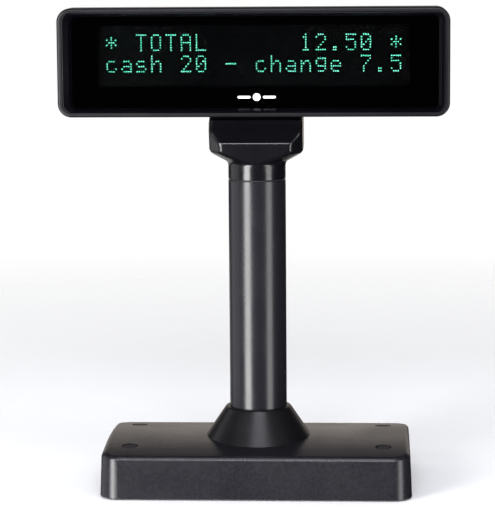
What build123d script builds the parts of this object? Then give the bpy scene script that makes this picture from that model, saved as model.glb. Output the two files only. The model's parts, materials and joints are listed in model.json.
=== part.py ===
from build123d import *
import math
import os

# Customer pole display: a weighted base, a round pole, a swivelling neck yoke and a tilting two-line head.
# Frame: millimetres, +Z up, front towards -Y, origin at the bottom centre of the base.

# ---- driving dimensions ------------------------------------------------------------------------------------

# base
BASE_WIDTH, BASE_DEPTH, BASE_CORNER = 161.5, 90.0, 10.0
BASE_FLOOR = 1.0            # underside of the shell, above the feet's contact plane
BASE_CROWN = 26.0           # top of the arch over the pole axis
BASE_ARCH_R = 300.0         # arch radius, axis along X
BASE_DRAFT = 2.4            # degrees
BASE_WALL = 2.5
BASE_EDGE_R = 3.0           # rounding of the top edge
BASE_BLANK_TOP = 32.0       # height of the block before the arch is cut
FIX_X, FIX_Y = 66.0, 26.5   # counter-fixing holes
FIXINGS = [(x, y) for x in (-FIX_X, FIX_X) for y in (-FIX_Y, FIX_Y)]
FIX_HOLE_R = 2.25
FIX_COLUMN_R = 5.5
PLUG_POCKET_R, PLUG_POCKET_FOOT = 4.2, 17.0
PLUG_R, PLUG_FOOT, PLUG_SKIRT_FOOT, PLUG_SKIRT_WALL = 3.5, 22.0, 20.4, 1.2
PLUG_RECESS, PLUG_GROOVE = 0.15, 1.0        # the plug's top and its groove below the arch
COVER_THICK = 2.0
BOSS_R, BASE_PILOT_R, BASE_SCREW_HEAD_R = 3.25, 1.45, 2.9
COVER_PILOT_TOP, BALLAST_PILOT_TOP = 11.0, 17.5
COVER_SCREWS = [(x, y) for x in (-40.0, 40.0) for y in (-37.0, 37.0)] + [(-71.5, 0.0), (71.5, 0.0)]
BALLAST_SCREWS = [(x, y) for x in (-48.0, 48.0) for y in (-20.0, 20.0)]
BALLAST_WIDTH, BALLAST_DEPTH, BALLAST_THICK = 114.0, 66.0, 8.0
BALLAST_FOOT = BASE_FLOOR + COVER_THICK + 0.2
BALLAST_NOTCH_HALF, BALLAST_NOTCH_FRONT = 24.0, -20.0
BALLAST_SINK_R, BALLAST_SINK = 3.4, 2.4
FOOT_R, FOOT_THICK = 7.0, 2.0
FEET = [(x, y) for x in (-51.0, 51.0) for y in (-31.0, 31.0)]

# pole and its fixing
POLE_R, POLE_WALL = 15.0, 2.0
POLE_FOOT, POLE_TOP = 20.0, 161.8
COLLAR_FOOT_R, COLLAR_RIM_R, COLLAR_TOP = 27.5, 17.0, 41.6
FLANGE_R, FLANGE_THICK = 26.0, 4.0
SPIGOT_TOP, SPIGOT_BORE_R = 52.0, 9.5
FLANGE_PAD_R, FLANGE_PAD_FOOT = FLANGE_R + 0.5, 20.0
SOCKET_SCREW_CIRCLE, SOCKET_SCREW_COUNT = 20.0, 3
SOCKET_HOLE_R, SOCKET_SHANK_R = 1.75, 1.65
GRUB_Z, GRUB_R = 32.0, 2.0

# electrical inlet
BOARD_Z, BOARD_THICK = 4.6, 1.6
BOARD_WIDTH, BOARD_FRONT, BOARD_BACK = 36.0, 17.0, 41.5
INLET_WIDTH, INLET_HEIGHT, INLET_BACK, INLET_FRONT = 12.0, 10.8, 43.9, 27.9
INLET_Z = BOARD_Z + BOARD_THICK + INLET_HEIGHT / 2
INLET_GAP, INLET_SHEET = 0.3, 0.5
BOARD_HOLES = [(-15.0, 20.5), (15.0, 20.5)]
STANDOFF_R, STANDOFF_BORE_R, BOARD_HOLE_R = 2.6, 1.0, 1.1

# swivel
SWIVEL_FIT = 0.05
SWIVEL_WASHER_THICK = 0.35
SEAM_CHAMFER = 0.3
BUSH_FOOT = 145.0
SHANK_R, SHANK_BORE_R, SHANK_FOOT = 9.0, 5.75, 140.0
STOP_GROOVE_R, STOP_Z, STOP_PIN_R = 7.5, 153.0, 1.2
STOP_GROOVE_HALF = 1.6
STOP_RIB_ANGLE = 16.0       # degrees of shank left standing as the stop
SPRING_WASHER_R, SPRING_WASHER_THICK = 12.2, 0.8
RING_R, RING_BORE_R, RING_THICK, RING_SPLIT = 11.6, 8.2, 1.4, 2.0
RING_TOP = BUSH_FOOT - 0.9

# neck yoke
NECK_FOOT = POLE_TOP + SWIVEL_WASHER_THICK + 0.05
FLARE_Z, FLARE_SLOPE = 171.0, 0.55
FACET_FOOT = (-15.0, 169.2)             # y, z where the front facet leaves the round neck
LIP = (-20.0, 182.0)                    # y, z of the front lip
YOKE_HALF, YOKE_LIP_HALF = 24.3, 18.5
YOKE_SIDE_FRONT, YOKE_SIDE_BACK, YOKE_BACK = -12.0, 10.0, 16.0
YOKE_WALL, YOKE_FLOOR = 2.5, 178.0
UNDER_R, RIM_R = 3.5, 2.2                # rounding of the flared underside and of the open rim
NECK_ROOT_R = 3.0
FRONT_CORNERS, BACK_CORNERS = (3.2, 6.0), (2.5, 2.5)    # rounding beside the facet and beside the flat sides
SWEEP_MIDDLE, SWEEP_END = (-15.9, 186.7), (-12.8, 193.5)    # y, z of the curve up from the lip
BACK_NOTCH = [(13.5, 195.5), (16.0, 192.5)]     # y, z where the cheeks meet the back wall
SCOOP_INNER = [(-16.0, 177.0), (-13.2, 185.0), (-10.5, 192.5), (-7.3, 193.7)]   # y, z inside the front scoop
SCOOP_SKIN = [*SCOOP_INNER, (-7.3, 195.8), (-30.0, 195.8), (-30.0, 177.0)]

# tilt pivot
TILT_Y, TILT_Z = 2.5, 203.0
CHEEK_R, KNUCKLE_R, KNUCKLE_HALF = 11.0, 10.4, 19.2
CHEEK_PAD_INNER = 19.9
PIVOT_R, PIVOT_FIT = 2.5, 0.05
PIVOT_HEAD_R, PIVOT_HEAD_THICK = 4.5, 2.0
CHANNEL_HALF = 15.0
KNUCKLE_WALL = 3.4
NUT_R, NUT_START, NUT_THICK = 4.5, 10.6, 4.2
WASHER_R = 7.5

# head
HEAD_WIDTH, HEAD_HEIGHT, HEAD_CORNER, HEAD_Z = 198.7, 55.2, 7.0, 224.6
HEAD_FRONT_EDGE_R, HEAD_REAR_EDGE_R, HEAD_INNER_EDGE_R = 1.25, 4.0, 1.8
HEAD_FRONT, HEAD_PART, HEAD_BACK = -37.0, -21.0, -9.5
HEAD_WALL = 2.3
REAR_DRAFT = 4.0            # degrees
FRAME_WIDTH, FRAME_HEIGHT, FRAME_CORNER = 193.6, 50.4, 4.5
WINDOW_WIDTH, WINDOW_HEIGHT, WINDOW_CORNER = 185.6, 46.3, 3.0
WINDOW_SHIFT = 0.9          # the opening sits a little right of centre
FRAME_FIT = 0.2
FILTER_FRONT, FILTER_BACK = -34.5, -33.0
LEDGE_BACK = -32.1
CASE_BOSS_R, CASE_PILOT_R, MAIN_BOSS_R, MAIN_PILOT_R = 3.2, 1.3, 2.4, 1.0
BOSS_FLOOR = 1.5            # material left in front of a pilot hole
TOWER_R, TOWER_WELL_R, TOWER_HOLE_R = 4.4, 2.9, 1.6
VENT_COUNT, VENT_FIRST, VENT_PITCH, VENT_RISE = 9, 34.0, 5.0, 10.0
VENT_WIDTH, VENT_HEIGHT, VENT_CORNER = 2.0, 12.0, 0.95
MARK_X, MARK_Z, MARK_R, MARK_THICK = 1.8, 207.0, 1.9, 0.1
MARK_BAR = (6.4, 1.2, 0.55)     # length, height, corner
MASK_WIDTH, MASK_HEIGHT, MASK_RISE = 158.0, 31.0, 3.3

# display tube: two rows of twenty characters
COLUMNS, ROWS = 20, 2
CHAR_PITCH, ROW_PITCH = 7.6, 10.8
CHAR_WIDTH, CHAR_HEIGHT, ROWS_RISE = 5.7, 9.0, 4.5
TUBE_WIDTH, TUBE_HEIGHT = 168.0, 38.0
GLASS_FRONT, GLASS_THICK = -31.9, 1.4
ANODE_FRONT, ANODE_THICK = -29.3, 1.9
LEAD_COUNT, LEAD_PITCH, LEAD_SIZE = 40, 4.0, 0.5

# main board
MAIN_FRONT, MAIN_THICK = -22.6, 1.6
MAIN_WIDTH, MAIN_HEIGHT = 182.0, 46.0
MAIN_BACK = MAIN_FRONT + MAIN_THICK
MAIN_SCREWS = [(-87.5, HEAD_Z), (87.5, HEAD_Z), (-60.0, HEAD_Z - 20.2), (60.0, HEAD_Z - 20.2)]
CASE_SCREWS = [(x, z) for x in (-91.0, 91.0) for z in (HEAD_Z - 20.5, HEAD_Z + 20.5)]
HEADER_Z, HEADER_BACK = 205.5, -13.6

HARNESS_R = 2.0
INLET_HEADER = (-6.0, 6.0, 18.6, 25.4, 5.0)   # x, x, y, y, height above the board

os.makedirs("parts", exist_ok=True)


# ---- shared helpers ----------------------------------------------------------------------------------------

def rod(radius, z_low, z_high, x=0.0, y=0.0):
    """A round bar along Z."""
    return Pos(x, y, z_low) * Cylinder(radius, z_high - z_low, align=(Align.CENTER, Align.CENTER, Align.MIN))


def rod_x(radius, x_low, x_high, y, z):
    """A round bar along X."""
    bar = Cylinder(radius, x_high - x_low, align=(Align.CENTER, Align.CENTER, Align.MIN))
    return Pos(x_low, y, z) * Rot(0, 90, 0) * bar


def rod_y(radius, y_low, y_high, x, z):
    """A round bar along Y."""
    bar = Cylinder(radius, y_high - y_low, align=(Align.CENTER, Align.CENTER, Align.MIN))
    return Pos(x, y_low, z) * Rot(-90, 0, 0) * bar


def block(x_low, x_high, y_low, y_high, z_low, z_high):
    """A square block between two corners."""
    size = (x_high - x_low, y_high - y_low, z_high - z_low)
    return Pos(x_low, y_low, z_low) * Box(*size, align=(Align.MIN, Align.MIN, Align.MIN))


def slab(width, height, corner, y_low, y_high, x=0.0, z=HEAD_Z, draft=0.0):
    """A plate facing the front, with rounded corners; a draft narrows it towards the back."""
    face = Plane(origin=(x, y_low, z), x_dir=(1, 0, 0), z_dir=(0, 1, 0))
    return extrude(face * RectangleRounded(width, height, corner), amount=y_high - y_low, taper=draft)


def base_block(inset, z_low, arch_drop):
    """The drafted, arch-topped block of the base, shrunk by a wall thickness."""
    outline = RectangleRounded(BASE_WIDTH - 2 * inset, BASE_DEPTH - 2 * inset, BASE_CORNER - inset)
    body = extrude(Pos(0, 0, z_low) * outline, amount=BASE_BLANK_TOP - z_low, taper=BASE_DRAFT)
    radius = BASE_ARCH_R - arch_drop
    half = BASE_WIDTH / 2 + 5
    return body & rod_x(radius, -half, half, 0, BASE_CROWN - BASE_ARCH_R)


def side_prism(points, half_width):
    """A closed outline of (y, z) points, extruded across X."""
    outline = make_face(Polyline(*[(0, y, z) for y, z in points], close=True))
    return extrude(outline, amount=half_width, both=True)


def screw(radius, head_radius, head_thick, length):
    """A pan-head screw along Z: head below the origin, shank above it, with a cross recess."""
    head = fillet(rod(head_radius, -head_thick, 0).edges().sort_by(Axis.Z)[0], head_thick * 0.4)
    recess = head_radius * 0.6
    cross = Box(recess * 2, head_thick * 0.35, head_thick * 0.5, align=(Align.CENTER, Align.CENTER, Align.MIN))
    cross += Rot(0, 0, 90) * cross
    return head + rod(radius, 0, length) - Pos(0, 0, -head_thick) * cross


def harness(points, bend):
    """A round wire bundle along straight runs joined by arcs."""
    path = FilletPolyline(*points, radius=bend)
    start = Plane(origin=points[0], z_dir=Vector(*points[1]) - Vector(*points[0]))
    return sweep(start * Circle(HARNESS_R), path=path)


def write(name, shape):
    """One STEP per node."""
    shape.label = name
    export_step(shape, f"parts/{name}.step")


def group(solids):
    """Identical loose pieces that share one node."""
    return Compound(children=[piece for solid in solids for piece in solid.solids()])


# ---- base --------------------------------------------------------------------------------------------------

def flange_screw_places():
    """The socket screws' places on their circle."""
    step = 360 / SOCKET_SCREW_COUNT
    angles = [math.radians(90 + step * (k + 0.5)) for k in range(SOCKET_SCREW_COUNT)]
    return [(SOCKET_SCREW_CIRCLE * math.cos(a), SOCKET_SCREW_CIRCLE * math.sin(a)) for a in angles]


def make_base_shell():
    outer = base_block(0, BASE_FLOOR, 0)
    outer = fillet(outer.faces().sort_by(Axis.Z)[-1].edges(), BASE_EDGE_R)
    shell = outer - base_block(BASE_WALL, BASE_FLOOR, BASE_WALL)
    cover_top = BASE_FLOOR + COVER_THICK
    inside = base_block(BASE_WALL / 2, BASE_FLOOR, BASE_WALL / 2)
    for x, y in FIXINGS:
        shell += rod(FIX_COLUMN_R, BASE_FLOOR, BASE_BLANK_TOP, x, y) & inside
    for x, y in COVER_SCREWS:
        shell += rod(BOSS_R, cover_top, BASE_BLANK_TOP, x, y) & inside
    for x, y in BALLAST_SCREWS:
        shell += rod(BOSS_R, BALLAST_FOOT + BALLAST_THICK, BASE_BLANK_TOP, x, y) & inside
    shell += rod(FLANGE_PAD_R, FLANGE_PAD_FOOT, BASE_BLANK_TOP) & inside

    # holes: counter-fixing with plug pockets, screws, pole, inlet
    for x, y in FIXINGS:
        shell -= rod(FIX_HOLE_R, 0, BASE_BLANK_TOP, x, y)
        shell -= rod(PLUG_POCKET_R, PLUG_POCKET_FOOT, BASE_BLANK_TOP, x, y)
    for x, y in COVER_SCREWS:
        shell -= rod(BASE_PILOT_R, 0, COVER_PILOT_TOP, x, y)
    for x, y in BALLAST_SCREWS:
        shell -= rod(BASE_PILOT_R, 0, BALLAST_PILOT_TOP, x, y)
    for x, y in flange_screw_places():
        shell -= rod(SOCKET_HOLE_R, 0, BASE_BLANK_TOP, x, y)
    shell -= rod(POLE_R + 0.2, 0, BASE_BLANK_TOP)
    half, rise = INLET_WIDTH / 2 + INLET_GAP, INLET_HEIGHT / 2 + INLET_GAP
    shell -= block(-half, half, 38, 50, INLET_Z - rise, INLET_Z + rise)
    return shell


def make_bottom_cover():
    inset = BASE_WALL + 0.2
    outline = RectangleRounded(BASE_WIDTH - 2 * inset, BASE_DEPTH - 2 * inset, BASE_CORNER - inset)
    cover = extrude(Pos(0, 0, BASE_FLOOR) * outline, amount=COVER_THICK, taper=BASE_DRAFT)
    for x, y in FIXINGS:
        cover -= rod(FIX_COLUMN_R + 0.2, 0, 5, x, y)
    for x, y in COVER_SCREWS:
        cover -= rod(BASE_PILOT_R, 0, 5, x, y) + rod(BASE_SCREW_HEAD_R, 0, BASE_FLOOR + 1.2, x, y)
    for x, y in FEET:
        cover -= rod(FOOT_R, 0, BASE_FLOOR + 1.0, x, y)
    # standoffs carry the inlet's board
    for x, y in BOARD_HOLES:
        cover += rod(STANDOFF_R, BASE_FLOOR + COVER_THICK, BOARD_Z, x, y)
        cover -= rod(STANDOFF_BORE_R, BASE_FLOOR + 1.0, BOARD_Z, x, y)
    return cover


def make_feet():
    return group([fillet(rod(FOOT_R, 0, FOOT_THICK, x, y).edges().sort_by(Axis.Z)[0], 0.5) for x, y in FEET])


def make_ballast():
    """A U-shaped steel plate with its notch at the back, clear of the inlet's board."""
    outline = RectangleRounded(BALLAST_WIDTH, BALLAST_DEPTH, 3)
    plate = extrude(Pos(0, 0, BALLAST_FOOT) * outline, amount=BALLAST_THICK)
    plate -= block(-BALLAST_NOTCH_HALF, BALLAST_NOTCH_HALF, BALLAST_NOTCH_FRONT, BALLAST_DEPTH, 0, 20)
    for x, y in BALLAST_SCREWS:
        plate -= rod(1.75, 0, 20, x, y) + rod(BALLAST_SINK_R, 0, BALLAST_FOOT + BALLAST_SINK, x, y)
    return plate


def make_plugs():
    """Press-in plugs whose tops follow the arch, with a groove round each."""
    arch = rod_x(BASE_ARCH_R - PLUG_RECESS, -90, 90, 0, BASE_CROWN - BASE_ARCH_R)
    groove = rod_x(BASE_ARCH_R - PLUG_GROOVE, -90, 90, 0, BASE_CROWN - BASE_ARCH_R)
    plugs = []
    for x, y in FIXINGS:
        skirt = rod(PLUG_POCKET_R, PLUG_SKIRT_FOOT, BASE_BLANK_TOP, x, y)
        skirt -= rod(PLUG_POCKET_R - PLUG_SKIRT_WALL, 0, PLUG_SKIRT_FOOT + PLUG_SKIRT_WALL, x, y)
        plugs.append((skirt & groove) + (rod(PLUG_R, PLUG_FOOT, BASE_BLANK_TOP, x, y) & arch))
    return group(plugs)


def make_collar():
    """The cone round the pole's foot; its underside follows the arch."""
    rim = COLLAR_TOP
    slope = (COLLAR_FOOT_R - COLLAR_RIM_R) / (rim - BASE_CROWN)
    low = BASE_CROWN - 4
    outline = Polyline((0, low), (COLLAR_FOOT_R + slope * 4, low), (COLLAR_RIM_R, rim), (0, rim), close=True)
    cone = revolve(Plane.XZ * make_face(outline), Axis.Z)
    cone = fillet(cone.edges().sort_by(Axis.Z)[-1], 1.5)
    cone -= rod_x(BASE_ARCH_R, -90, 90, 0, BASE_CROWN - BASE_ARCH_R)
    cone -= rod(POLE_R + 0.1, 0, 60)
    for x, y in flange_screw_places():
        cone -= rod(SOCKET_SHANK_R, 0, 31.0, x, y)
    return cone


def make_socket():
    """Flange under the base's top, with a hollow spigot up into the tube."""
    flange = rod(FLANGE_R, POLE_FOOT - FLANGE_THICK, POLE_FOOT)
    socket = flange + rod(POLE_R - POLE_WALL, POLE_FOOT, SPIGOT_TOP)
    socket = chamfer(socket.edges().sort_by(Axis.Z)[-1], 1.0)
    socket -= rod(SPIGOT_BORE_R, 0, 60)
    for x, y in flange_screw_places():
        socket -= rod(SOCKET_HOLE_R, 0, 30, x, y)
    return socket - rod_x(GRUB_R, -20, 20, 0, GRUB_Z)


def make_pole():
    tube = chamfer(rod(POLE_R, POLE_FOOT, POLE_TOP).edges().sort_by(Axis.Z)[-1], SEAM_CHAMFER)
    tube -= rod(POLE_R - POLE_WALL, 0, 200)
    return tube - rod_x(GRUB_R, -20, 20, 0, GRUB_Z)


def make_grub_screws():
    """Socket set screws, flush with the tube."""
    screws = []
    for side in (0, 180):
        body = rod_x(GRUB_R, 10.4, POLE_R - 0.3, 0, 0) - rod_x(0.9, POLE_R - 2.3, 20, 0, 0)
        screws.append(Pos(0, 0, GRUB_Z) * Rot(0, 0, side) * body)
    return group(screws)


def make_inlet_board():
    board = block(-BOARD_WIDTH / 2, BOARD_WIDTH / 2, BOARD_FRONT, BOARD_BACK, BOARD_Z, BOARD_Z + BOARD_THICK)
    for x, y in BOARD_HOLES:
        board -= rod(BOARD_HOLE_R, 0, 10, x, y)
    return board


def make_inlet_shell():
    """Square USB-B inlet: a sheet-metal sleeve open at the back wall."""
    low, high = INLET_Z - INLET_HEIGHT / 2, INLET_Z + INLET_HEIGHT / 2
    half, sheet = INLET_WIDTH / 2, INLET_SHEET
    sleeve = block(-half, half, INLET_FRONT, INLET_BACK, low, high)
    return sleeve - block(-half + sheet, half - sheet, INLET_FRONT + sheet, 60, low + sheet, high - sheet)


def make_inlet_insulator():
    """The insulator's back wall, liner and contact tongue."""
    half, rise, front = INLET_WIDTH / 2 - INLET_SHEET, INLET_HEIGHT / 2 - INLET_SHEET, INLET_FRONT + INLET_SHEET
    liner = block(-half, half, front, INLET_BACK - 0.6, INLET_Z - rise, INLET_Z + rise)
    socket = extrude(Plane(origin=(0, front + 3, INLET_Z), x_dir=(1, 0, 0), z_dir=(0, 1, 0))
                     * RectangleRounded(8.6, 7.9, 0.8), amount=20)
    tongue = block(-2.8, 2.8, front, INLET_BACK - 1.6, INLET_Z - 1.6, INLET_Z + 1.6)
    return liner - socket + tongue


def make_interface_chips():
    top = BOARD_Z + BOARD_THICK
    return group([block(-14.0, -8.0, 28.0, 34.0, top, top + 1.2), block(8.5, 12.5, 29.0, 33.0, top, top + 1.0),
                  block(9.0, 12.0, 36.0, 38.0, top, top + 0.8)])


# ---- swivel ------------------------------------------------------------------------------------------------

def make_bush():
    bush = rod(POLE_R - POLE_WALL, BUSH_FOOT, POLE_TOP) - rod(SHANK_R + SWIVEL_FIT, 0, 200)
    return bush - rod_y(STOP_PIN_R, 5, 20, 0, STOP_Z)


def make_swivel_washer():
    washer = rod(POLE_R - 0.5, POLE_TOP, POLE_TOP + SWIVEL_WASHER_THICK)
    return washer - rod(SHANK_R + 0.2, 0, 200)


def make_stop_pin():
    return rod_y(STOP_PIN_R, STOP_GROOVE_R + 0.3, POLE_R - POLE_WALL - 0.1, 0, STOP_Z)


def make_spring_washer():
    return rod(SPRING_WASHER_R, RING_TOP, RING_TOP + SPRING_WASHER_THICK) - rod(SHANK_R, 0, 200)


def make_retaining_ring():
    """A split snap ring in the shank's groove."""
    ring = rod(RING_R, RING_TOP - RING_THICK, RING_TOP) - rod(RING_BORE_R, 0, 200)
    return ring - block(-RING_SPLIT, RING_SPLIT, 0, RING_R + 1, RING_TOP - 2, RING_TOP + 1)


# ---- neck --------------------------------------------------------------------------------------------------

def yoke_plan(inset):
    """The yoke's hollow from above: its eight-sided outline shrunk by a wall thickness."""
    lip, side = YOKE_LIP_HALF - inset * 0.6, YOKE_HALF - inset
    front, back = LIP[0] + inset, YOKE_BACK - inset
    near, far = YOKE_SIDE_FRONT + inset * 0.5, YOKE_SIDE_BACK - inset * 0.5
    points = [(-lip, front), (lip, front), (side, near), (side, far), (lip, back), (-lip, back), (-side, far),
              (-side, near)]
    return make_face(Polyline(*points, close=True))


def yoke_prism(facet_y, side_y, corners, lean):
    """The yoke's sides, with a facet and two chamfers at one end, rising along a leaning direction."""
    shift = lean * (LIP[1] - NECK_FOOT)
    far_end = -math.copysign(60.0, facet_y)
    facet_corner, side_corner = corners
    points = [(-YOKE_LIP_HALF, facet_y + shift), (YOKE_LIP_HALF, facet_y + shift), (YOKE_HALF, side_y + shift),
              (YOKE_HALF, far_end), (-YOKE_HALF, far_end), (-YOKE_HALF, side_y + shift)]
    outline = Pos(0, 0, NECK_FOOT) * make_face(Polyline(*points, close=True))
    sides = [v for v in outline.vertices() if abs(v.X) > YOKE_HALF - 0.1 and abs(v.Y - far_end) > 0.5]
    outline = fillet(sides, side_corner)
    facet = [v for v in outline.vertices() if abs(abs(v.X) - YOKE_LIP_HALF) < 0.1]
    return extrude(fillet(facet, facet_corner), amount=60.0, dir=(0, -lean, 1))


def make_yoke():
    lean = (FACET_FOOT[0] - LIP[0]) / (LIP[1] - FACET_FOOT[1])
    body = yoke_prism(LIP[0], YOKE_SIDE_FRONT, FRONT_CORNERS, lean)
    body = body & yoke_prism(YOKE_BACK, YOKE_SIDE_BACK, BACK_CORNERS, 0.0)

    # round neck, flared underside
    far_r = 45.0
    profile = Polyline((0, NECK_FOOT), (POLE_R, NECK_FOOT), (POLE_R, FLARE_Z),
                       (far_r, FLARE_Z + FLARE_SLOPE * (far_r - POLE_R)), (far_r, 230), (0, 230), close=True)
    profile = make_face(profile)
    root = profile.vertices().sort_by_distance((POLE_R, FLARE_Z))[0]
    profile = fillet(root, NECK_ROOT_R)
    body = body & revolve(Plane.XZ * profile, Axis.Z)
    body += rod(POLE_R, NECK_FOOT, FACET_FOOT[1])
    body = chamfer(body.edges().sort_by(Axis.Z)[0], SEAM_CHAMFER)

    # side view: lip, sweep up to the cheeks, round cheeks, back wall
    head_gap = (TILT_Y - 10.9, TILT_Z - 7.2)
    sweep_up = ThreePointArc((0, *LIP), (0, *SWEEP_MIDDLE), (0, *SWEEP_END))
    climb = Polyline((0, *SWEEP_END), (0, *head_gap), (0, head_gap[0], TILT_Z - 1.5))
    join = Line((0, head_gap[0], TILT_Z - 1.5), (0, TILT_Y - CHEEK_R, TILT_Z))
    crown = ThreePointArc((0, TILT_Y - CHEEK_R, TILT_Z), (0, TILT_Y, TILT_Z + CHEEK_R),
                          (0, TILT_Y + CHEEK_R, TILT_Z))
    notch = [(0, y, z) for y, z in BACK_NOTCH]
    back = Polyline((0, TILT_Y + CHEEK_R, TILT_Z), *notch, (0, 30, BACK_NOTCH[1][1]), (0, 30, 150), (0, -40, 150),
                    (0, -40, LIP[1]), (0, *LIP))
    outline = make_face(Wire([*sweep_up.edges(), *climb.edges(), *join.edges(), *crown.edges(), *back.edges()]))
    body = body & extrude(outline, amount=40, both=True)
    body = fillet(body.edges().filter_by(is_under_edge), UNDER_R)
    return fillet(body.edges().filter_by(is_rim_edge), RIM_R)


def is_under_edge(edge):
    """Where the flared underside meets the yoke's sides."""
    middle = edge.center()
    free = edge.geom_type == GeomType.BSPLINE and middle.Z > FLARE_Z + 3
    curved = free or edge.geom_type == GeomType.HYPERBOLA
    return curved and FLARE_Z + 0.3 < middle.Z < YOKE_FLOOR + 0.5


def is_rim_edge(edge):
    """The outline of the yoke's open top, without the creases that run across it."""
    middle, way = edge.center(), edge.tangent_at(0.5)
    if middle.Z < LIP[1] - 0.1:
        return False
    if abs(way.X) > 0.99:
        lip = abs(middle.Y - LIP[0]) < 0.01 and abs(middle.Z - LIP[1]) < 0.01
        return lip or abs(middle.Y - YOKE_BACK) < 0.01
    if edge.geom_type == GeomType.LINE:
        return middle.Z > LIP[1] + 7.5 and abs(middle.X) > YOKE_HALF - 0.01
    return True


def hollow_yoke(body):
    cavity = extrude(Pos(0, 0, YOKE_FLOOR) * yoke_plan(YOKE_WALL), amount=60)
    cavity -= side_prism(SCOOP_SKIN, YOKE_HALF)
    pads = rod_x(CHEEK_R - 1.0, CHEEK_PAD_INNER, YOKE_HALF, TILT_Y, TILT_Z)
    pads += rod_x(CHEEK_R - 1.0, -YOKE_HALF, -CHEEK_PAD_INNER, TILT_Y, TILT_Z)
    body = body - (cavity - pads)
    body -= rod_x(KNUCKLE_R + 0.4, -CHEEK_PAD_INNER, CHEEK_PAD_INNER, TILT_Y, TILT_Z)
    body += rod(SHANK_R, SHANK_FOOT, NECK_FOOT)
    body -= rod(SHANK_BORE_R, 100, YOKE_FLOOR)

    # stop groove round the shank, less the rib at the front, and the snap ring's groove
    groove = rod(SHANK_R + 1, STOP_Z - STOP_GROOVE_HALF, STOP_Z + STOP_GROOVE_HALF) - rod(STOP_GROOVE_R, 100, 200)
    reach = 20.0
    half = math.radians(STOP_RIB_ANGLE / 2)
    rib = make_face(Polyline((0, 0), (reach * math.sin(half), -reach * math.cos(half)),
                             (-reach * math.sin(half), -reach * math.cos(half)), close=True))
    groove -= extrude(Pos(0, 0, STOP_Z - 5) * rib, amount=10)
    body -= groove
    body -= rod(SHANK_R + 1, RING_TOP - RING_THICK, RING_TOP) - rod(RING_BORE_R, 100, 200)

    # pivot holes and their counterbores
    body -= rod_x(PIVOT_R, -30, 30, TILT_Y, TILT_Z)
    for side in (0, 180):
        pocket = rod_x(PIVOT_HEAD_R + 0.2, YOKE_HALF - PIVOT_HEAD_THICK - 0.2, 30, 0, 0)
        body -= Pos(0, TILT_Y, TILT_Z) * Rot(0, 0, side) * pocket
    return body


def make_pivot_screws():
    """Shoulder screws through the cheeks, hexagon sockets outwards."""
    seat = YOKE_HALF - PIVOT_HEAD_THICK - 0.2
    head = fillet(rod_x(PIVOT_HEAD_R, seat, seat + PIVOT_HEAD_THICK, 0, 0).edges().sort_by(Axis.X)[-1], 0.5)
    body = head + rod_x(PIVOT_R, 10.0, seat, 0, 0)
    socket = Plane(origin=(seat + 0.6, 0, 0), x_dir=(0, 1, 0), z_dir=(1, 0, 0)) * RegularPolygon(1.9, 6)
    body -= extrude(socket, amount=5)
    return group([Pos(0, TILT_Y, TILT_Z) * Rot(0, 0, side) * body for side in (0, 180)])


def make_pivot_nuts():
    hexagon = Plane(origin=(NUT_START, 0, 0), x_dir=(0, 1, 0), z_dir=(1, 0, 0)) * RegularPolygon(NUT_R, 6)
    nut = extrude(hexagon, amount=NUT_THICK)
    nut -= rod_x(PIVOT_R, 0, 30, 0, 0)
    return group([Pos(0, TILT_Y, TILT_Z) * Rot(0, 0, side) * nut for side in (0, 180)])


def make_friction_washers():
    washer = rod_x(WASHER_R, KNUCKLE_HALF + 0.05, CHEEK_PAD_INNER, 0, 0) - rod_x(PIVOT_R, 0, 30, 0, 0)
    return group([Pos(0, TILT_Y, TILT_Z) * Rot(0, 0, side) * washer for side in (0, 180)])


# ---- head case ---------------------------------------------------------------------------------------------

def make_front_bezel():
    case = slab(HEAD_WIDTH, HEAD_HEIGHT, HEAD_CORNER, HEAD_FRONT, HEAD_PART)
    case = fillet(case.edges().group_by(Axis.Y)[0], HEAD_FRONT_EDGE_R)
    case = chamfer(case.edges().group_by(Axis.Y)[-1], 0.3)
    pocket = (FRAME_WIDTH + 2 * FRAME_FIT, FRAME_HEIGHT + 2 * FRAME_FIT, FRAME_CORNER + FRAME_FIT)
    case -= slab(*pocket, HEAD_FRONT - 1, FILTER_BACK)
    case -= slab(*pocket, LEDGE_BACK, HEAD_PART + 1)
    case -= slab(MASK_WIDTH, MASK_HEIGHT, 0.8, HEAD_FRONT, HEAD_PART, z=HEAD_Z + MASK_RISE)
    for x, z in CASE_SCREWS:
        case += rod_y(CASE_BOSS_R, LEDGE_BACK, HEAD_PART, x, z)
        case -= rod_y(CASE_PILOT_R, LEDGE_BACK + BOSS_FLOOR, HEAD_PART, x, z)
    for x, z in MAIN_SCREWS:
        case += rod_y(MAIN_BOSS_R, LEDGE_BACK, MAIN_FRONT, x, z)
        case -= rod_y(MAIN_PILOT_R, LEDGE_BACK + BOSS_FLOOR, MAIN_FRONT, x, z)
    return case


def make_window_frame():
    frame = slab(FRAME_WIDTH, FRAME_HEIGHT, FRAME_CORNER, HEAD_FRONT + 0.25, FILTER_FRONT)
    frame = fillet(frame.edges().group_by(Axis.Y)[0], 0.35)
    frame -= slab(WINDOW_WIDTH, WINDOW_HEIGHT, WINDOW_CORNER, HEAD_FRONT - 1, HEAD_PART, x=WINDOW_SHIFT)
    rim = frame.faces().sort_by(Axis.Y)[0].inner_wires()[0].edges()
    return chamfer(rim, 1.5, 1.9, reference=frame.faces().sort_by(Axis.Y)[0])


def make_filter():
    return slab(FRAME_WIDTH, FRAME_HEIGHT, FRAME_CORNER, FILTER_FRONT, FILTER_BACK)


def make_mark():
    """A plain printed ornament: a disc between two bars."""
    front = FILTER_FRONT - MARK_THICK
    mark = [rod_y(MARK_R, front, FILTER_FRONT, MARK_X, MARK_Z)]
    for side in (-1, 1):
        mark.append(slab(*MARK_BAR, front, FILTER_FRONT, x=MARK_X + side * MARK_BAR[0], z=MARK_Z))
    return group(mark)


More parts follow.
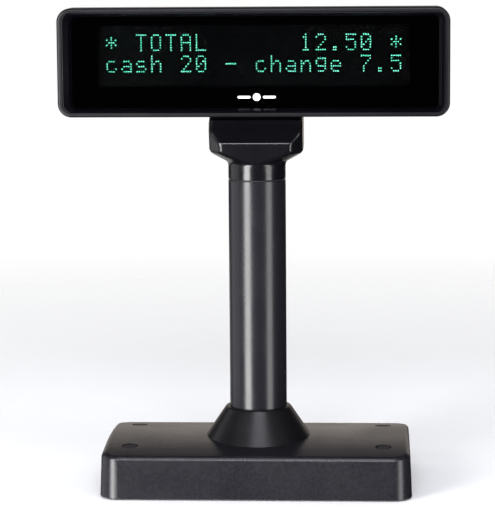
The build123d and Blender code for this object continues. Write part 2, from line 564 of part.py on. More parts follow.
def make_rear_shell():
    case = slab(HEAD_WIDTH, HEAD_HEIGHT, HEAD_CORNER, HEAD_PART, HEAD_BACK, draft=REAR_DRAFT)
    case = fillet(case.edges().group_by(Axis.Y)[-1], HEAD_REAR_EDGE_R)
    case = chamfer(case.edges().group_by(Axis.Y)[0], 0.3)
    inner = (HEAD_WIDTH - 2 * HEAD_WALL, HEAD_HEIGHT - 2 * HEAD_WALL, HEAD_CORNER - HEAD_WALL)
    cavity = slab(*inner, HEAD_PART - 1, HEAD_BACK - HEAD_WALL, draft=REAR_DRAFT)
    case -= fillet(cavity.edges().group_by(Axis.Y)[-1], HEAD_INNER_EDGE_R)

    # vent slots high on both sides, and the case screws' towers with their wells
    for side in (-1, 1):
        for k in range(VENT_COUNT):
            x = side * (VENT_FIRST + VENT_PITCH * k)
            case -= slab(VENT_WIDTH, VENT_HEIGHT, VENT_CORNER, HEAD_BACK - 5, HEAD_BACK + 1, x=x,
                         z=HEAD_Z + VENT_RISE)
    for x, z in CASE_SCREWS:
        tower = rod_y(TOWER_R, HEAD_PART + 0.2, HEAD_BACK - 1, x, z)
        case += tower & slab(*inner, HEAD_PART, HEAD_BACK - 1, draft=REAR_DRAFT)
        case -= rod_y(TOWER_WELL_R, HEAD_PART + 3.0, HEAD_BACK + 5, x, z)
        case -= rod_y(TOWER_HOLE_R, HEAD_PART - 1, HEAD_BACK + 5, x, z)

    # knuckle: a hollow hood round the pivot axis, joined to the back wall
    knuckle = rod_x(KNUCKLE_R, -KNUCKLE_HALF, KNUCKLE_HALF, TILT_Y, TILT_Z)
    knuckle += block(-KNUCKLE_HALF, KNUCKLE_HALF, HEAD_BACK - 0.5, TILT_Y, TILT_Z - 5.4, TILT_Z + KNUCKLE_R)
    case += knuckle
    case -= block(-CHANNEL_HALF, CHANNEL_HALF, TILT_Y - 8, TILT_Y + KNUCKLE_R - KNUCKLE_WALL, 180, TILT_Z + 6.5)
    case -= block(-CHANNEL_HALF, CHANNEL_HALF, HEAD_BACK - 8, TILT_Y, TILT_Z - 2, TILT_Z + 6.5)
    return case - rod_x(PIVOT_R + PIVOT_FIT, -30, 30, TILT_Y, TILT_Z)


# ---- display tube ------------------------------------------------------------------------------------------

def make_front_glass():
    return slab(TUBE_WIDTH, TUBE_HEIGHT, 0.6, GLASS_FRONT, GLASS_FRONT + GLASS_THICK, z=HEAD_Z + MASK_RISE)


def make_seal():
    """The frit ring between the two glasses."""
    centre = HEAD_Z + MASK_RISE
    ring = slab(TUBE_WIDTH, TUBE_HEIGHT, 0.6, GLASS_FRONT + GLASS_THICK, ANODE_FRONT, z=centre)
    return ring - slab(TUBE_WIDTH - 5, TUBE_HEIGHT - 5, 0.6, GLASS_FRONT, ANODE_FRONT + 1, z=centre)


def make_anode_glass():
    return slab(TUBE_WIDTH, TUBE_HEIGHT, 0.6, ANODE_FRONT, ANODE_FRONT + ANODE_THICK, z=HEAD_Z + MASK_RISE)


def character_places():
    """The centre of every character cell, row by row."""
    for row in range(ROWS):
        z = HEAD_Z + ROWS_RISE + ((ROWS - 1) / 2 - row) * ROW_PITCH
        for column in range(COLUMNS):
            yield (column - (COLUMNS - 1) / 2) * CHAR_PITCH, z


def make_character_cells():
    cells = []
    for x, z in character_places():
        cells.append(block(x - CHAR_WIDTH / 2, x + CHAR_WIDTH / 2, ANODE_FRONT - 0.1, ANODE_FRONT,
                           z - CHAR_HEIGHT / 2, z + CHAR_HEIGHT / 2))
    return group(cells)


def make_exhaust_tip():
    back = ANODE_FRONT + ANODE_THICK
    tip = rod_y(2.0, back, back + 3.0, TUBE_WIDTH / 2 - 12, HEAD_Z + MASK_RISE + 10)
    return fillet(tip.edges().sort_by(Axis.Y)[-1], 1.2)


def make_leads():
    """The tube's lead wires, down from the anode glass's lower edge and back to the board."""
    low = HEAD_Z + MASK_RISE - TUBE_HEIGHT / 2
    back = ANODE_FRONT + ANODE_THICK
    half = LEAD_SIZE / 2
    leads = []
    for k in range(LEAD_COUNT):
        x = (k - (LEAD_COUNT - 1) / 2) * LEAD_PITCH
        drop = block(x - half, x + half, back - 1.0, back - 0.5, low - 1.6, low)
        run = block(x - half, x + half, back - 0.5, MAIN_FRONT, low - 1.6, low - 1.1)
        leads.append(drop + run)
    return group(leads)


def make_foam_strips():
    """Foam tape between the tube and the board."""
    back = ANODE_FRONT + ANODE_THICK
    return group([slab(120, 4.0, 0.5, back, MAIN_FRONT, x=-6, z=HEAD_Z + MASK_RISE + rise) for rise in (-12, 12)])


# ---- main board --------------------------------------------------------------------------------------------

def make_main_board():
    board = slab(MAIN_WIDTH, MAIN_HEIGHT, 1.0, MAIN_FRONT, MAIN_BACK)
    for x, z in MAIN_SCREWS:
        board -= rod_y(1.2, -40, 0, x, z)
    for x, z in CASE_SCREWS:
        board -= rod_y(5.0, -40, 0, x, z)
    return board


def make_controller_chips():
    chips = [(-30.0, HEAD_Z + 4, 14.0, 14.0, 1.8), (-58.0, HEAD_Z + 4, 18.0, 7.5, 1.6),
             (12.0, HEAD_Z + 8, 10.0, 6.0, 1.5), (58.0, HEAD_Z + 12, 18.0, 7.5, 1.6)]
    return group([slab(w, h, 0.3, MAIN_BACK, MAIN_BACK + t, x=x, z=z) for x, z, w, h, t in chips])


def make_capacitors():
    """Can capacitors standing on the board."""
    cans = [(36.0, HEAD_Z - 6, 4.0), (46.0, HEAD_Z - 6, 4.0), (-78.0, HEAD_Z - 8, 3.1), (-70.0, HEAD_Z - 8, 3.1)]
    return group([fillet(rod_y(r, MAIN_BACK, MAIN_BACK + 7.4, x, z).edges().sort_by(Axis.Y)[-1], 0.5)
                  for x, z, r in cans])


def make_coil():
    """The converter's wound drum core."""
    x, z, depth = 60.0, HEAD_Z - 8, 7.0
    core = rod_y(6.0, MAIN_BACK, MAIN_BACK + depth, x, z)
    window = rod_y(8.0, MAIN_BACK + 1.4, MAIN_BACK + depth - 1.4, x, z)
    return core - (window - rod_y(4.6, MAIN_BACK, MAIN_BACK + depth, x, z))


def make_head_header():
    return slab(17.0, 7.0, 0.4, MAIN_BACK, HEADER_BACK, z=HEADER_Z)


# ---- screws ------------------------------------------------------------------------------------------------

def along_y(solid, x, y, z):
    """Turn a screw drawn along +Z so that its head faces the back and its shank runs to the front."""
    return Pos(x, y, z) * Rot(90, 0, 0) * solid


def make_cover_screws():
    seat = BASE_FLOOR + 1.2
    return group([Pos(x, y, seat) * screw(BASE_PILOT_R, 2.7, 1.15, 8.6) for x, y in COVER_SCREWS])


def make_ballast_screws():
    seat = BALLAST_FOOT + BALLAST_SINK
    return group([Pos(x, y, seat) * screw(BASE_PILOT_R, 3.0, 1.8, 11.5) for x, y in BALLAST_SCREWS])


def make_socket_screws():
    seat = POLE_FOOT - FLANGE_THICK
    return group([Pos(x, y, seat) * screw(SOCKET_SHANK_R, 3.2, 2.2, 14.8) for x, y in flange_screw_places()])


def make_interface_screws():
    fastener = Rot(180, 0, 0) * screw(STANDOFF_BORE_R, 2.0, 1.2, 3.9)
    return group([Pos(x, y, BOARD_Z + BOARD_THICK) * fastener for x, y in BOARD_HOLES])


def make_case_screws():
    return group([along_y(screw(CASE_PILOT_R, 2.6, 1.6, 11.5), x, HEAD_PART + 3.0, z) for x, z in CASE_SCREWS])


def make_main_screws():
    return group([along_y(screw(MAIN_PILOT_R, 2.1, 1.2, 6.0), x, MAIN_BACK, z) for x, z in MAIN_SCREWS])


# ---- wiring ------------------------------------------------------------------------------------------------

def make_interface_header():
    x_low, x_high, y_low, y_high, height = INLET_HEADER
    top = BOARD_Z + BOARD_THICK
    return block(x_low, x_high, y_low, y_high, top, top + height)


def make_pole_harness():
    """From the inlet's board to the pole's axis, then straight up the pole."""
    level = BOARD_Z + BOARD_THICK + INLET_HEADER[4] / 2
    return harness([(0, INLET_HEADER[2], level), (0, 0, level), (0, 0, SHANK_FOOT - 1.0)], 7.0)


def make_neck_harness():
    return rod(HARNESS_R, SHANK_FOOT + 0.5, TILT_Z - 13.0)


def make_head_harness():
    """Up through the knuckle, then forwards to the main board's header."""
    return harness([(0, 0, TILT_Z - 9.4), (0, 0, HEADER_Z), (0, HEADER_BACK, HEADER_Z)], 6.0)


# ---- the nodes ---------------------------------------------------------------------------------------------

NODES = {
    # stand
    "base_shell": make_base_shell,
    "bottom_cover": make_bottom_cover,
    "cover_screws": make_cover_screws,
    "rubber_feet": make_feet,
    "screw_plugs": make_plugs,
    "ballast_plate": make_ballast,
    "ballast_screws": make_ballast_screws,
    "pole_collar": make_collar,
    "pole_socket": make_socket,
    "socket_screws": make_socket_screws,
    "pole_tube": make_pole,
    "pole_grub_screws": make_grub_screws,
    "interface_board": make_inlet_board,
    "interface_chips": make_interface_chips,
    "interface_header": make_interface_header,
    "interface_screws": make_interface_screws,
    "usb_inlet_shell": make_inlet_shell,
    "usb_inlet_insulator": make_inlet_insulator,
    "swivel_bush": make_bush,
    "swivel_washer": make_swivel_washer,
    "swivel_stop_pin": make_stop_pin,
    "pole_harness": make_pole_harness,
    # neck
    "neck_yoke": lambda: hollow_yoke(make_yoke()),
    "swivel_spring_washer": make_spring_washer,
    "swivel_retaining_ring": make_retaining_ring,
    "tilt_pivot_screws": make_pivot_screws,
    "tilt_pivot_nuts": make_pivot_nuts,
    "tilt_friction_washers": make_friction_washers,
    "neck_harness": make_neck_harness,
    # head
    "front_bezel": make_front_bezel,
    "window_frame": make_window_frame,
    "filter_window": make_filter,
    "window_mark": make_mark,
    "display_front_glass": make_front_glass,
    "display_seal": make_seal,
    "display_anode_glass": make_anode_glass,
    "character_cells": make_character_cells,
    "display_exhaust_tip": make_exhaust_tip,
    "display_leads": make_leads,
    "display_foam_strips": make_foam_strips,
    "main_board": make_main_board,
    "main_board_screws": make_main_screws,
    "controller_chips": make_controller_chips,
    "board_capacitors": make_capacitors,
    "converter_coil": make_coil,
    "head_header": make_head_header,
    "rear_shell": make_rear_shell,
    "case_screws": make_case_screws,
    "head_harness": make_head_harness,
}

for name, make in NODES.items():
    write(name, make())
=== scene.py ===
import json
import math

import bmesh
import bpy
from mathutils import Matrix, Vector


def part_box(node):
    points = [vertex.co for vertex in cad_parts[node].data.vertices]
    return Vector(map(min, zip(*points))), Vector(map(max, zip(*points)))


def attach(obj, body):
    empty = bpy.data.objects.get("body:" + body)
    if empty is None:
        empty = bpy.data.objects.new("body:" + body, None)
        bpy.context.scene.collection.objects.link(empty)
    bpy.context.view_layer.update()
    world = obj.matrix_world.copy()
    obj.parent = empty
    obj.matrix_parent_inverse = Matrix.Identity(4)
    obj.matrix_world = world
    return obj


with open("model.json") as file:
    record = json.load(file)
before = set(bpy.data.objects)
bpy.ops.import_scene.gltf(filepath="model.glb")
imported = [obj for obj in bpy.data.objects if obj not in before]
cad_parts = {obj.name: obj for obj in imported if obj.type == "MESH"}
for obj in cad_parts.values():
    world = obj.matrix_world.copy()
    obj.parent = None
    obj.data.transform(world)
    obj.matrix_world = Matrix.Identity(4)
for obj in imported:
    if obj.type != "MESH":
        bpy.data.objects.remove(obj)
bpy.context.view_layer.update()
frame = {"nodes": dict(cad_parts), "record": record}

MM = 0.001


# ---- camera ------------------------------------------------------------------------------------------------

CAMERA_AZIMUTH, CAMERA_ELEVATION, CAMERA_ROLL = 3.13, 7.84, -0.40   # degrees
CAMERA_TARGET = Vector((-0.0053, 0.0, 0.1216))
CAMERA_DISTANCE = 1.239
CAMERA_LENS, CAMERA_SENSOR = 166.4, 36.0


def direction(azimuth, elevation):
    """The way from the object towards a place seen at this azimuth and elevation, both in degrees."""
    a, e = math.radians(azimuth), math.radians(elevation)
    return Vector((math.sin(a) * math.cos(e), -math.cos(a) * math.cos(e), math.sin(e)))


def make_camera():
    data = bpy.data.cameras.new("camera")
    data.lens, data.sensor_width = CAMERA_LENS, CAMERA_SENSOR
    data.clip_start = 0.05
    camera = bpy.data.objects.new("camera", data)
    back = direction(CAMERA_AZIMUTH, CAMERA_ELEVATION)
    right = Vector((math.cos(math.radians(CAMERA_AZIMUTH)), math.sin(math.radians(CAMERA_AZIMUTH)), 0.0))
    up = back.cross(right)
    roll = math.radians(CAMERA_ROLL)
    rolled_right = math.cos(roll) * right + math.sin(roll) * up
    rolled_up = math.cos(roll) * up - math.sin(roll) * right
    turn = Matrix((rolled_right, rolled_up, back)).transposed().to_4x4()
    camera.matrix_world = Matrix.Translation(CAMERA_TARGET + back * CAMERA_DISTANCE) @ turn
    bpy.context.collection.objects.link(camera)
    bpy.context.scene.camera = camera


# ---- studio ------------------------------------------------------------------------------------------------

LOOK_AT = Vector((0.0, 0.0, 0.12))                       # where the lights aim
AMBIENT, AMBIENT_STRENGTH = (0.95, 0.97, 1.0), 0.55
MIRRORED, MIRRORED_STRENGTH = (0.9, 0.9, 1.0), 0.015     # what glossy surfaces see between the lights
FLOOR_FADE_START, FLOOR_FADE_END = 0.25, 0.90
FLOOR_DROP = 0.05 * MM


def softbox(name, azimuth, elevation, distance, width, height, radiance, colour=(1.0, 1.0, 1.0)):
    """A rectangular area light aimed at the middle of the object, given by how bright its face looks."""
    data = bpy.data.lights.new(name, "AREA")
    data.shape, data.size, data.size_y = "RECTANGLE", width, height
    data.energy, data.color = radiance * math.pi * width * height, colour
    light = bpy.data.objects.new(name, data)
    back = direction(azimuth, elevation)
    light.location = LOOK_AT + back * distance
    light.rotation_mode = "QUATERNION"
    light.rotation_quaternion = back.to_track_quat("Z", "Y")
    light.visible_camera = False
    bpy.context.collection.objects.link(light)


def make_studio():
    # name, azimuth, elevation, distance, width, height, radiance, colour
    softbox("key_left", -38, -8, 1.2, 0.50, 1.8, 13.6)
    softbox("side_left", -100, -4, 1.4, 1.30, 1.6, 0.7)
    softbox("rear_low", 195, -20, 1.6, 1.2, 0.7, 0.6, (1.0, 0.97, 0.94))
    softbox("strip_right", 51, -8, 1.2, 0.48, 1.8, 4.8)
    softbox("front_low", 2, 30, 1.5, 0.8, 0.30, 12.0, (0.93, 0.93, 1.0))
    softbox("front_top", 7, 58, 1.4, 0.7, 0.44, 4.2, (0.92, 0.92, 1.0))
    softbox("rear_glow", 180, 8, 2.2, 2.4, 1.0, 0.60, (1.0, 0.90, 0.82))


def make_surround():
    """A white backdrop for the camera, dark for mirror reflections, and soft light for everything else."""
    world = bpy.data.worlds.new("studio")
    world.use_nodes = True
    nodes, links = world.node_tree.nodes, world.node_tree.links
    nodes.clear()
    path = nodes.new("ShaderNodeLightPath")

    def backdrop(colour, strength, below, ray):
        """One plain surround, laid over the one below it for a single kind of ray."""
        room = nodes.new("ShaderNodeBackground")
        room.inputs["Color"].default_value = (*colour, 1.0)
        room.inputs["Strength"].default_value = strength
        if below is None:
            return room.outputs[0]
        mix = nodes.new("ShaderNodeMixShader")
        links.new(path.outputs[ray], mix.inputs[0])
        links.new(below, mix.inputs[1])
        links.new(room.outputs[0], mix.inputs[2])
        return mix.outputs[0]

    ambient = backdrop(AMBIENT, AMBIENT_STRENGTH, None, None)
    mirrored = backdrop(MIRRORED, MIRRORED_STRENGTH, ambient, "Is Glossy Ray")
    seen = backdrop((1.0, 1.0, 1.0), 1.0, mirrored, "Is Camera Ray")
    links.new(seen, nodes.new("ShaderNodeOutputWorld").inputs[0])
    bpy.context.scene.world = world
    bpy.context.scene.view_settings.view_transform = "Standard"


def make_floor():
    """A pale sheet just under the feet, as wide as its fade reaches."""
    mesh = bpy.data.meshes.new("floor")
    half = FLOOR_FADE_END
    corners = [(-half, -half, 0), (half, -half, 0), (half, half, 0), (-half, half, 0)]
    mesh.from_pydata(corners, [], [(0, 1, 2, 3)])
    floor = bpy.data.objects.new("floor", mesh)
    bpy.context.collection.objects.link(floor)
    floor.location.z = -FLOOR_DROP
    floor.data.materials.append(floor_material())
    floor.visible_glossy = floor.visible_shadow = False


# ---- material kit ------------------------------------------------------------------------------------------

class Kit:
    """A material under construction: a Principled shader, and short calls for the nodes that feed it."""

    def __init__(self, name, **sockets):
        self.material = bpy.data.materials.new(name)
        self.material.use_nodes = True
        self.nodes, self.links = self.material.node_tree.nodes, self.material.node_tree.links
        self.shader = self.nodes["Principled BSDF"]
        self.place = self.nodes.new("ShaderNodeTexCoord").outputs["Object"]
        for socket, value in sockets.items():
            self.set(socket.replace("_", " "), value)

    def set(self, socket, value):
        titled = {"base color": "Base Color", "roughness": "Roughness", "metallic": "Metallic", "ior": "IOR",
                  "specular": "Specular IOR Level", "transmission": "Transmission Weight",
                  "emission": "Emission Color", "emission strength": "Emission Strength"}
        if isinstance(value, tuple) and len(value) == 3:
            value = (*value, 1.0)
        self.shader.inputs[titled[socket]].default_value = value

    def noise(self, scale, detail=2.0, stretch=None):
        node = self.nodes.new("ShaderNodeTexNoise")
        node.inputs["Scale"].default_value = scale
        node.inputs["Detail"].default_value = detail
        place = self.place
        if stretch:
            mapping = self.nodes.new("ShaderNodeMapping")
            mapping.inputs["Scale"].default_value = stretch
            self.links.new(place, mapping.inputs["Vector"])
            place = mapping.outputs["Vector"]
        self.links.new(place, node.inputs["Vector"])
        return node.outputs["Fac"]

    def ramp(self, value, low, high, from_low=0.3, from_high=0.7):
        node = self.nodes.new("ShaderNodeMapRange")
        limits = {"From Min": from_low, "From Max": from_high, "To Min": low, "To Max": high}
        for socket, number in limits.items():
            node.inputs[socket].default_value = number
        self.links.new(value, node.inputs["Value"])
        return node.outputs["Result"]

    def blend(self, value, first, second):
        """A colour between two, by a value from 0 to 1."""
        node = self.nodes.new("ShaderNodeMix")
        node.data_type = "RGBA"
        node.inputs["A"].default_value = (*first, 1.0)
        node.inputs["B"].default_value = (*second, 1.0)
        self.links.new(value, node.inputs["Factor"])
        return node.outputs["Result"]

    def bump(self, value, distance, strength=1.0):
        node = self.nodes.new("ShaderNodeBump")
        node.inputs["Distance"].default_value = distance
        node.inputs["Strength"].default_value = strength
        self.links.new(value, node.inputs["Height"])
        old = self.shader.inputs["Normal"]
        if old.is_linked:
            self.links.new(old.links[0].from_socket, node.inputs["Normal"])
        self.links.new(node.outputs["Normal"], old)

    def feed(self, socket, value):
        self.links.new(value, self.shader.inputs[socket])


def shade(colour, factor):
    return tuple(channel * factor for channel in colour)


def moulded(name, colour, roughness, grain=2600.0, depth=0.03 * MM, mottle=0.18, **sockets):
    """Spark-eroded moulded plastic: a fine grain, faint mottling, and patches handled smoother."""
    kit = Kit(name, **sockets)
    mottling = kit.ramp(kit.noise(grain * 0.35, 3.0), 0.0, 1.0)
    kit.feed("Base Color", kit.blend(mottling, shade(colour, 1 - mottle), shade(colour, 1 + mottle)))
    kit.feed("Roughness", kit.ramp(kit.noise(28.0, 3.0), roughness - 0.05, roughness + 0.05))
    kit.bump(kit.noise(grain, 3.0), depth)
    return kit.material


def lacquered(name, colour, roughness, **sockets):
    """Sprayed semi-gloss lacquer: faint orange peel and dust-fine flake."""
    kit = Kit(name, **sockets)
    flake = kit.ramp(kit.noise(3200.0, 1.0), 0.0, 1.0)
    kit.feed("Base Color", kit.blend(flake, shade(colour, 0.88), shade(colour, 1.15)))
    kit.feed("Roughness", kit.ramp(kit.noise(45.0, 3.0), roughness - 0.03, roughness + 0.04))
    kit.bump(kit.noise(520.0, 2.0), 0.012 * MM)
    return kit.material


def metal(name, colour, roughness, brushed=None):
    """Bare metal with fine drawn or turned marks."""
    kit = Kit(name, metallic=1.0)
    marks = kit.noise(900.0, 4.0, stretch=brushed)
    kit.feed("Base Color", kit.blend(kit.ramp(marks, 0.0, 1.0), shade(colour, 0.82), colour))
    kit.feed("Roughness", kit.ramp(marks, roughness - 0.08, roughness + 0.1))
    kit.bump(marks, 0.006 * MM)
    return kit.material


def rubbery(name, colour, roughness):
    kit = Kit(name)
    dust = kit.ramp(kit.noise(140.0, 4.0), 0.0, 1.0)
    kit.feed("Base Color", kit.blend(dust, colour, shade(colour, 1.7)))
    kit.feed("Roughness", kit.ramp(kit.noise(300.0, 2.0), roughness - 0.06, roughness + 0.06))
    kit.bump(kit.noise(1500.0, 3.0), 0.04 * MM)
    return kit.material


def glassy(name, colour):
    """Clear or tinted sheet with faint smears in its gloss."""
    kit = Kit(name, base_color=colour, transmission=1.0, ior=1.49)
    kit.feed("Roughness", kit.ramp(kit.noise(22.0, 4.0, stretch=(1.0, 1.0, 2.6)), 0.02, 0.06))
    return kit.material


def glowing(name, colour, strength, core):
    """Lit phosphor, a little uneven from dot to dot."""
    kit = Kit(name, base_color=(0.2, 0.3, 0.27), roughness=0.8, emission_strength=strength)
    patch = kit.ramp(kit.noise(420.0, 1.0), 0.0, 1.0)
    kit.feed("Emission Color", kit.blend(patch, colour, core))
    return kit.material


def laminate(name, colour):
    """Solder-masked circuit board: copper tracks stand out faintly under the mask."""
    kit = Kit(name, specular=0.6)
    brick = kit.nodes.new("ShaderNodeTexBrick")
    brick.inputs["Scale"].default_value = 220.0
    brick.inputs["Color1"].default_value = (*colour, 1.0)
    brick.inputs["Color2"].default_value = (*shade(colour, 1.25), 1.0)
    brick.inputs["Mortar"].default_value = (*shade(colour, 1.9), 1.0)
    brick.inputs["Mortar Size"].default_value = 0.04
    turn = kit.nodes.new("ShaderNodeMapping")
    turn.inputs["Rotation"].default_value = (math.radians(90.0), 0.0, 0.0)
    kit.links.new(kit.place, turn.inputs["Vector"])
    kit.links.new(turn.outputs["Vector"], brick.inputs["Vector"])
    kit.feed("Base Color", brick.outputs["Color"])
    kit.feed("Roughness", kit.ramp(kit.noise(300.0, 2.0), 0.3, 0.45))
    kit.bump(brick.outputs["Fac"], 0.02 * MM, 0.5)
    return kit.material


def floor_material():
    """Pale seamless paper, which fades into the white backdrop a little way from the object."""
    kit = Kit("floor_paper")
    kit.feed("Base Color", kit.blend(kit.noise(3.0, 2.0), (0.95, 0.95, 0.955), (0.98, 0.98, 0.985)))
    kit.feed("Roughness", kit.ramp(kit.noise(40.0, 3.0), 0.75, 0.9))
    reach = kit.nodes.new("ShaderNodeVectorMath")
    reach.operation = "LENGTH"
    kit.links.new(kit.place, reach.inputs[0])
    kit.feed("Alpha", kit.ramp(reach.outputs["Value"], 1.0, 0.0, FLOOR_FADE_START, FLOOR_FADE_END))
    return kit.material


# ---- the slots' materials ----------------------------------------------------------------------------------

CHARCOAL = (0.0088, 0.0084, 0.0112)
STEEL, BLACK = (0.62, 0.62, 0.61), (0.02, 0.02, 0.021)


def slot_materials():
    return {
        "base_plastic": moulded("base_grain", CHARCOAL, 0.28, grain=1900.0, depth=0.022 * MM, mottle=0.3),
        "collar_plastic": moulded("collar_grain", shade(CHARCOAL, 0.4), 0.33, grain=1900.0, depth=0.022 * MM,
                                  mottle=0.3),
        "plug_plastic": moulded("plug_grain", shade(CHARCOAL, 0.9), 0.5, grain=1800.0),
        "cover_plastic": moulded("cover_grain", (0.013, 0.013, 0.015), 0.55),
        # The yoke's lacquer is much darker than the pole's paint of the same finish. The extra darkness is
        # painted shade for the shadowed recess under the head.
        "yoke_plastic": lacquered("yoke_lacquer_painted_shade", (0.0026, 0.0025, 0.0038), 0.22, specular=0.6),
        "pole_paint": lacquered("pole_lacquer", (0.0080, 0.0078, 0.0105), 0.25),
        "case_plastic": moulded("case_grain", (0.0036, 0.0035, 0.0052), 0.38, grain=3200.0, depth=0.012 * MM,
                                specular=0.3),
        "frame_plastic": moulded("frame_grain", (0.0010, 0.0010, 0.0018), 0.16, grain=3600.0,
                                 depth=0.008 * MM, specular=0.3),
        "smoked_window": glassy("smoked_acrylic", (0.33, 0.34, 0.35)),
        # The mark's ink also carries a faint emission. This is painted light: a glow that print does not
        # give.
        "mark_ink": moulded("mark_ink", (0.86, 0.87, 0.88), 0.5, grain=4000.0, mottle=0.05,
                            emission=(0.8, 0.85, 0.9), emission_strength=0.25),
        "tube_glass": glassy("tube_glass", (0.93, 0.97, 0.96)),
        "anode_glass": moulded("anode_black", (0.0034, 0.0040, 0.0040), 0.5),
        "seal_frit": moulded("frit", (0.1, 0.1, 0.1), 0.7),
        "phosphor": moulded("cell_phosphor", (0.012, 0.02, 0.018), 0.85, grain=5200.0),
        "lead_wire": metal("tinned_wire", (0.7, 0.69, 0.66), 0.35),
        "foam": rubbery("foam", (0.03, 0.03, 0.03), 0.9),
        "board_laminate": laminate("solder_mask", (0.012, 0.09, 0.04)),
        "chip_plastic": moulded("chip_epoxy", (0.025, 0.025, 0.025), 0.6),
        "header_plastic": moulded("header_nylon", (0.62, 0.58, 0.48), 0.5),
        "can_aluminium": metal("can_sleeve", (0.55, 0.56, 0.6), 0.35),
        "coil_copper": moulded("ferrite", (0.05, 0.05, 0.052), 0.6),
        "harness_sleeve": rubbery("cable_sleeve", (0.008, 0.008, 0.0085), 0.45),
        "foot_rubber": rubbery("foot_rubber", (0.012, 0.012, 0.0125), 0.85),
        "ballast_steel": metal("mill_steel", (0.4, 0.4, 0.41), 0.5, brushed=(1.0, 12.0, 1.0)),
        "socket_alloy": metal("cast_alloy", (0.6, 0.6, 0.61), 0.5),
        "screw_steel": metal("zinc_plate", STEEL, 0.3),
        "black_steel": lacquered("black_oxide", BLACK, 0.35, metallic=0.4),
        "spring_steel": metal("spring_steel", (0.5, 0.5, 0.5), 0.3),
        "inlet_metal": metal("nickel", (0.74, 0.73, 0.7), 0.22),
        "inlet_plastic": moulded("inlet_nylon", (0.72, 0.72, 0.7), 0.5),
        "bush_plastic": moulded("acetal", (0.7, 0.69, 0.64), 0.4),
        "washer_plastic": moulded("washer", (0.02, 0.02, 0.02), 0.6),
    }


def dress_nodes():
    materials = slot_materials()
    slots = {part["node"]: part["material_slot"] for part in frame["record"]["subparts"]}
    for name, node in frame["nodes"].items():
        node.data.materials.clear()
        node.data.materials.append(materials[slots[name]])


# ---- the lit display ---------------------------------------------------------------------------------------

CELL_COLUMNS, CELL_ROWS = 20, 2
CELL_WIDTH, CELL_HEIGHT, CELL_PITCH = 5.7 * MM, 9.0 * MM, 7.6 * MM
DOT_COLUMNS, DOT_ROWS = 5, 7
DOT_WIDTH, DOT_HEIGHT, DOT_CORNER, DOT_INSET = 0.64 * MM, 0.64 * MM, 0.20 * MM, 0.32 * MM
LIT_THICKNESS, UNLIT_THICKNESS = 0.05 * MM, 0.03 * MM
TEXT = ["* TOTAL      12.50 *",
        "cash 20 - change 7.5"]

GLYPHS = {
    " ": "..... ..... ..... ..... ..... ..... .....",
    "*": "..... ..#.. #.#.# .###. #.#.# ..#.. .....",
    "-": "..... ..... ..... ##### ..... ..... .....",
    ".": "..... ..... ..... ..... ..... .##.. .##..",
    "0": ".###. #...# #..## #.#.# ##..# #...# .###.",
    "1": "..#.. .##.. ..#.. ..#.. ..#.. ..#.. .###.",
    "2": ".###. #...# ....# ...#. ..#.. .#... #####",
    "5": "##### #.... ####. ....# ....# #...# .###.",
    "7": "##### ....# ...#. ..#.. .#... .#... .#...",
    "A": ".###. #...# #...# ##### #...# #...# #...#",
    "L": "#.... #.... #.... #.... #.... #.... #####",
    "O": ".###. #...# #...# #...# #...# #...# .###.",
    "T": "##### ..#.. ..#.. ..#.. ..#.. ..#.. ..#..",
    "a": "..... ..... .###. ....# .#### #...# .####",
    "c": "..... ..... .###. #.... #.... #...# .###.",
    "e": "..... ..... .###. #...# ##### #.... .###.",
    "g": "..... .#### #...# #...# .#### ....# .###.",
    "h": "#.... #.... #.##. ##..# #...# #...# #...#",
    "n": "..... ..... #.##. ##..# #...# #...# #...#",
    "s": "..... ..... .###. #.... .###. ....# ####.",
}


def cell_corners():
    """Every character cell's row, column and top left corner, from the outline of all the cells."""
    low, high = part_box("character_cells")
    for row in range(CELL_ROWS):
        top = high.z if row == 0 else low.z + CELL_HEIGHT
        for column in range(CELL_COLUMNS):
            yield row, column, low.x + column * CELL_PITCH, top


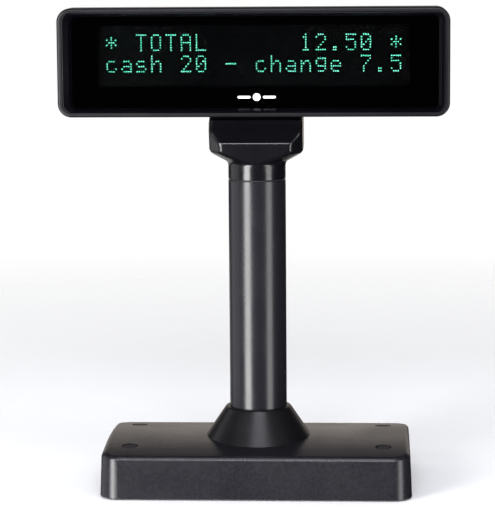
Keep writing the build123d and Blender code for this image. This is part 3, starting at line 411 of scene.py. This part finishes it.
def dot_outline():
    """A dot's rounded outline about its centre."""
    points = []
    for quarter, (sx, sz) in enumerate(((1, 1), (-1, 1), (-1, -1), (1, -1))):
        for turn in (0, 45, 90):
            angle = math.radians(90 * quarter + turn)
            x = sx * (DOT_WIDTH / 2 - DOT_CORNER) + DOT_CORNER * math.cos(angle)
            z = sz * (DOT_HEIGHT / 2 - DOT_CORNER) + DOT_CORNER * math.sin(angle)
            points.append((x, z))
    return points


def make_dots(name, lit, thickness, material):
    """One mesh of every dot that is lit, or of every dot that isn't."""
    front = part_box("character_cells")[0].y
    outline = dot_outline()
    step_x = (CELL_WIDTH - DOT_WIDTH - 2 * DOT_INSET) / (DOT_COLUMNS - 1)
    step_z = (CELL_HEIGHT - DOT_HEIGHT - 2 * DOT_INSET) / (DOT_ROWS - 1)
    builder = bmesh.new()
    for row, column, left, top in cell_corners():
        glyph = GLYPHS[TEXT[row][column]].split()
        for r in range(DOT_ROWS):
            for c in range(DOT_COLUMNS):
                if (glyph[r][c] == "#") != lit:
                    continue
                x = left + DOT_INSET + DOT_WIDTH / 2 + c * step_x
                z = top - DOT_INSET - DOT_HEIGHT / 2 - r * step_z
                face = [builder.verts.new((x + dx, front - thickness, z + dz)) for dx, dz in outline]
                root = [builder.verts.new((x + dx, front, z + dz)) for dx, dz in outline]
                builder.faces.new(face)
                builder.faces.new(root[::-1])
                for k in range(len(outline)):
                    after = (k + 1) % len(outline)
                    builder.faces.new((face[k], root[k], root[after], face[after]))
    bmesh.ops.recalc_face_normals(builder, faces=builder.faces)
    mesh = bpy.data.meshes.new(name)
    builder.to_mesh(mesh)
    builder.free()
    mesh.materials.append(material)
    dots = bpy.data.objects.new(name, mesh)
    bpy.context.collection.objects.link(dots)
    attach(dots, "head")


def make_display():
    lit = glowing("lit_phosphor", (0.065, 0.60, 0.38), 8.5, (0.22, 0.84, 0.60))
    unlit = moulded("unlit_phosphor", (0.016, 0.026, 0.024), 0.85, grain=5200.0)
    make_dots("lit_dots", True, LIT_THICKNESS, lit)
    make_dots("unlit_dots", False, UNLIT_THICKNESS, unlit)


# ---- making ------------------------------------------------------------------------------------------------

make_camera()
make_studio()
make_surround()
make_floor()
dress_nodes()
make_display()
